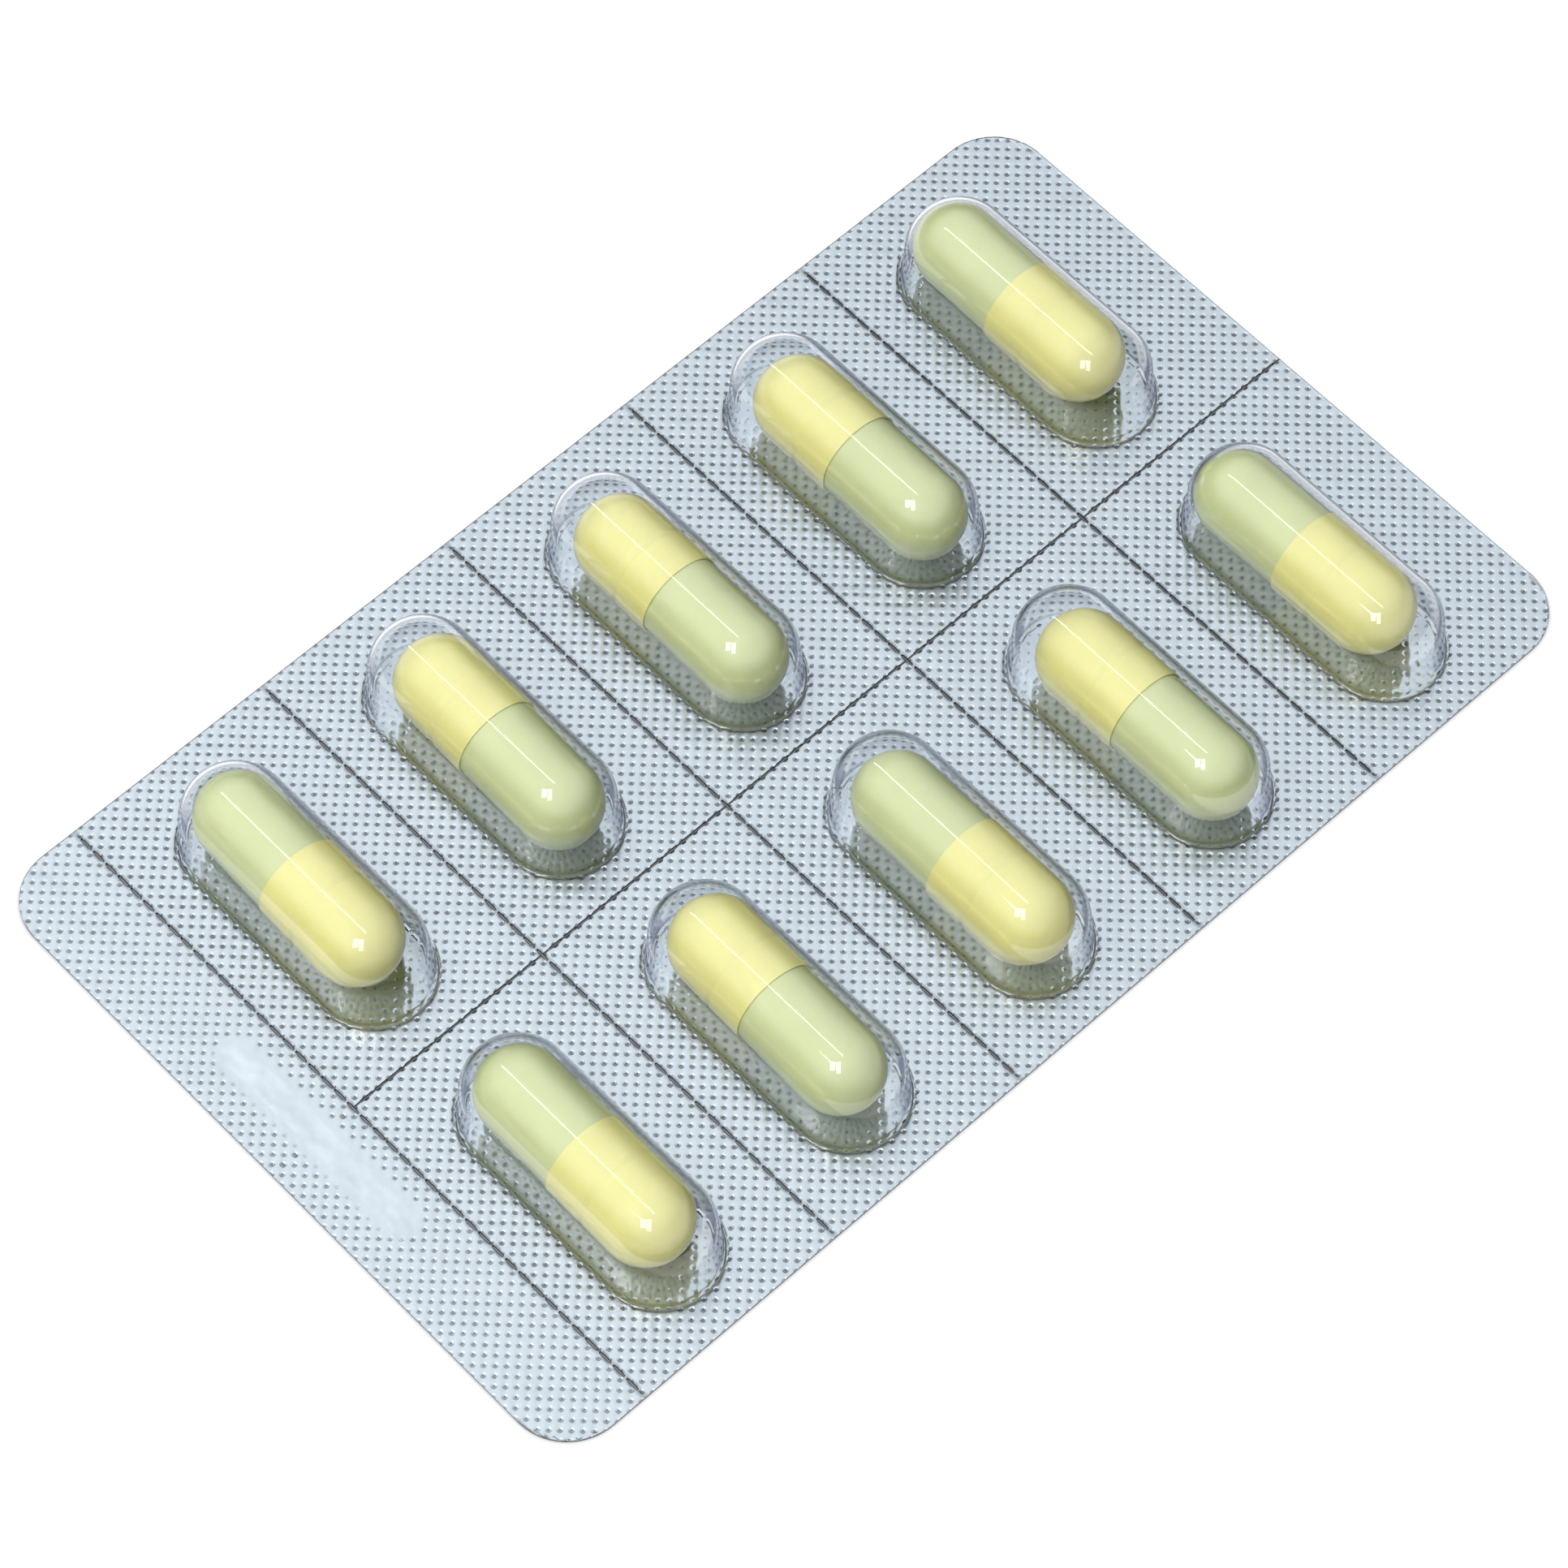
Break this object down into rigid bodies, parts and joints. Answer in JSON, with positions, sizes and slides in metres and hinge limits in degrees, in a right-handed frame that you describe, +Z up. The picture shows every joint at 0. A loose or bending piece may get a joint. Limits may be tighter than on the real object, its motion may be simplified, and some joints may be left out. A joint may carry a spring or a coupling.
{
  "type": "pill blister pack",
  "caption": "Push-through blister pack: clear formed film with two rows of long pockets, foil lidding, tear lines and a two-piece hard capsule in each pocket.",
  "frame": {"origin": "middle of the underside of the foil, on the surface that the pack lies on", "axes": "+X along the pack away from the end strip, +Y across it to the row with the wider margin, +Z up through the pockets"},
  "size_m": [0.1072, 0.066, 0.0082],
  "materials": {
    "clear_film": "glossy clear thermoformed PVC",
    "aluminium_foil": "knurled hard-temper foil",
    "yellow_gelatin": "glossy hard gelatin, pale yellow",
    "green_gelatin": "glossy hard gelatin, pale green",
    "powder": "packed powder"
  },
  "bodies": {
    "root": {"formed_film": "clear_film", "lidding_foil": "aluminium_foil", "capsule_cap_01": "yellow_gelatin", "capsule_body_01": "green_gelatin", "capsule_fill_01": "powder", "capsule_cap_02": "yellow_gelatin", "capsule_body_02": "green_gelatin", "capsule_fill_02": "powder", "capsule_cap_03": "yellow_gelatin", "capsule_body_03": "green_gelatin", "capsule_fill_03": "powder", "capsule_cap_04": "yellow_gelatin", "capsule_body_04": "green_gelatin", "capsule_fill_04": "powder", "capsule_cap_05": "yellow_gelatin", "capsule_body_05": "green_gelatin", "capsule_fill_05": "powder", "capsule_cap_06": "yellow_gelatin", "capsule_body_06": "green_gelatin", "capsule_fill_06": "powder", "capsule_cap_07": "yellow_gelatin", "capsule_body_07": "green_gelatin", "capsule_fill_07": "powder", "capsule_cap_08": "yellow_gelatin", "capsule_body_08": "green_gelatin", "capsule_fill_08": "powder", "capsule_cap_09": "yellow_gelatin", "capsule_body_09": "green_gelatin", "capsule_fill_09": "powder", "capsule_cap_10": "yellow_gelatin", "capsule_body_10": "green_gelatin", "capsule_fill_10": "powder"}
  },
  "joints": []
}
